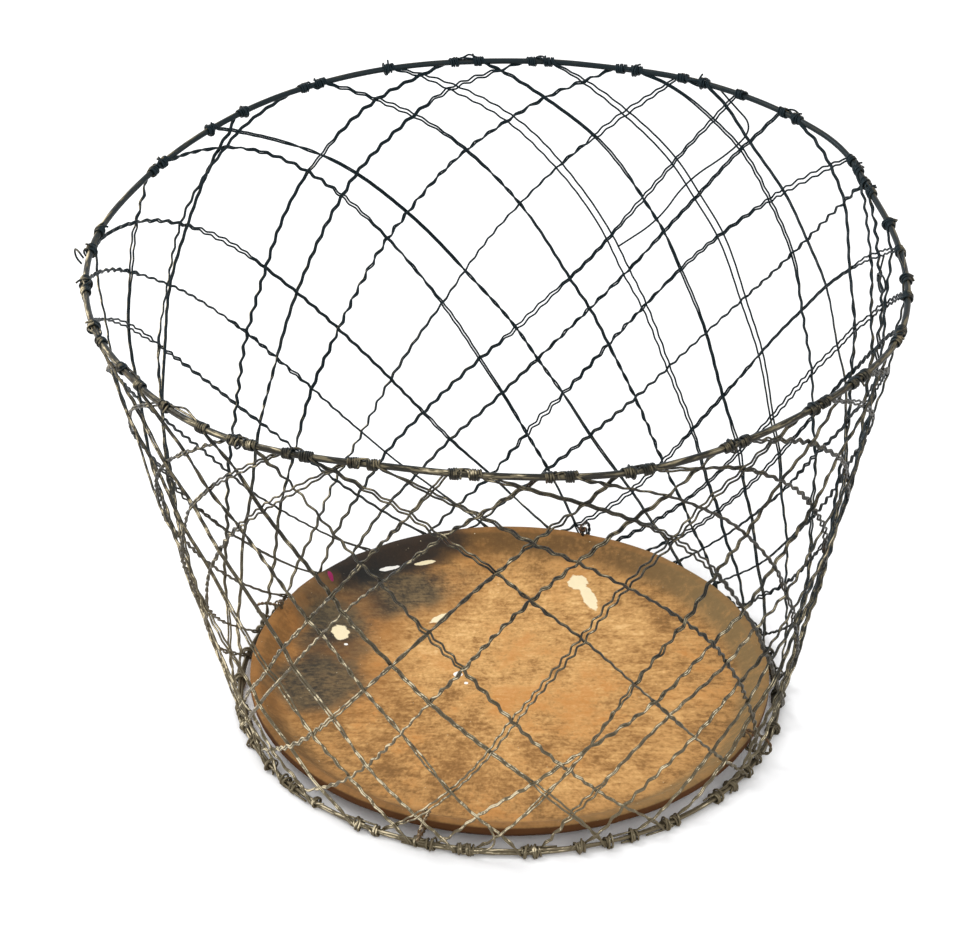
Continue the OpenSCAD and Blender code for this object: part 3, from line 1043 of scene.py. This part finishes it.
def twisted_pair(route, gone, thickness, pitch):
    """Two wires twisted round each other along a route. gone is the length up to each of its points."""
    run = unit(np.gradient(route, axis=0))
    along_lip = (0, 1, 0.02)
    side = unit(np.cross(run, along_lip))
    above = np.cross(run, side)
    turn = 2 * math.pi * gone / pitch
    lines = []
    for start in (0, math.pi):
        spoke = np.cos(turn + start)[:, None] * side + np.sin(turn + start)[:, None] * above
        lines.append(route + thickness / 2 * spoke)
    return lines


def wire_knob():
    """The balled end of a tie: a few turns that swell and close again as they rise."""
    wound = np.arange(0, 2 * math.pi * knob_turns, collar_step)
    swell = knob_radius * (0.7 + 0.3 * np.sin(wound / knob_turns / 2))
    height = knob_height + knob_pitch * wound / (2 * math.pi) + knob_waver * np.sin(2.3 * wound)
    return np.stack([swell * np.cos(wound), swell * np.sin(wound), height], axis=-1)


for number, degrees in enumerate(tie_degrees, start=1):
    lines = twisted_pair(*smooth_route(tie_route, tie_step), tie_wire, tie_pitch)
    lines.append(smooth_route(lip_loop, tie_step)[0])
    if number in knob_ties:
        lines.append(wire_knob())
    turn = np.array(Matrix.Rotation(math.radians(degrees), 3, "Z"))
    placed = [(line + (tie_radius, 0, 0)) @ turn.T + (tray_x, 0, 0) for line in lines]
    surfaces = [wire_surface(line, tie_wire, net_sides) for line in placed]
    make_piece(f"tray_tie_{number}", surfaces, tie_rust, ["tray_ties"])

# --------
# Floor, light and camera: a plain white floor in white light from all round, with two large soft
# lights from the left and the front. The camera looks down on the basket from the front.
# --------
floor_mesh = bpy.data.meshes.new("floor")
floor_reach = 6.0
floor_mesh.from_pydata(
    [(-floor_reach, -floor_reach, 0), (floor_reach, -floor_reach, 0),
     (floor_reach, floor_reach, 0), (-floor_reach, floor_reach, 0)],
    [], [(0, 1, 2, 3)])
floor_paint = Finish("floor_paint", roughness=0.9, metallic=0.0, specular=0.1)
floor_paint.colour((0.98, 0.98, 0.985, 1))
floor_mesh.materials.append(floor_paint.material)
floor = bpy.data.objects.new("floor", floor_mesh)
bpy.context.scene.collection.objects.link(floor)

world = bpy.data.worlds.new("soft_white_room")
world.use_nodes = True
world.node_tree.nodes["Background"].inputs["Color"].default_value = (1, 1, 1, 1)
world.node_tree.nodes["Background"].inputs["Strength"].default_value = 1.0
bpy.context.scene.world = world


lit_place = Vector((0, 0, 0.15))


def soft_light(name, place, size, power):
    """A round soft light that points at the middle of the basket."""
    light = bpy.data.lights.new(name, "AREA")
    light.shape = "DISK"
    light.size = size
    light.energy = power
    lamp = bpy.data.objects.new(name, light)
    lamp.location = place
    lamp.rotation_mode = "QUATERNION"
    lamp.rotation_quaternion = (lit_place - Vector(place)).to_track_quat("-Z", "Y")
    bpy.context.scene.collection.objects.link(lamp)


soft_light("light_left", (-1.6, 0.6, 1.9), 1.2, 26)
soft_light("light_front", (0.9, -1.9, 1.6), 1.4, 10)

camera_target = Vector((-0.0064, 0, 0.1586))
camera_distance = 1.828
camera_elevation = math.radians(31.55)
camera_roll = math.radians(0.38)
lens = bpy.data.cameras.new("camera")
lens.lens = 117.8
lens.sensor_width = 36
camera = bpy.data.objects.new("camera", lens)
back = Vector((0, -math.cos(camera_elevation), math.sin(camera_elevation)))
camera.location = camera_target + camera_distance * back
camera.rotation_mode = "QUATERNION"
aim = (-back).to_track_quat("-Z", "Y")
camera.rotation_quaternion = aim @ Matrix.Rotation(camera_roll, 3, "Z").to_quaternion()
bpy.context.scene.collection.objects.link(camera)
bpy.context.scene.camera = camera
bpy.context.scene.view_settings.view_transform = "Standard"
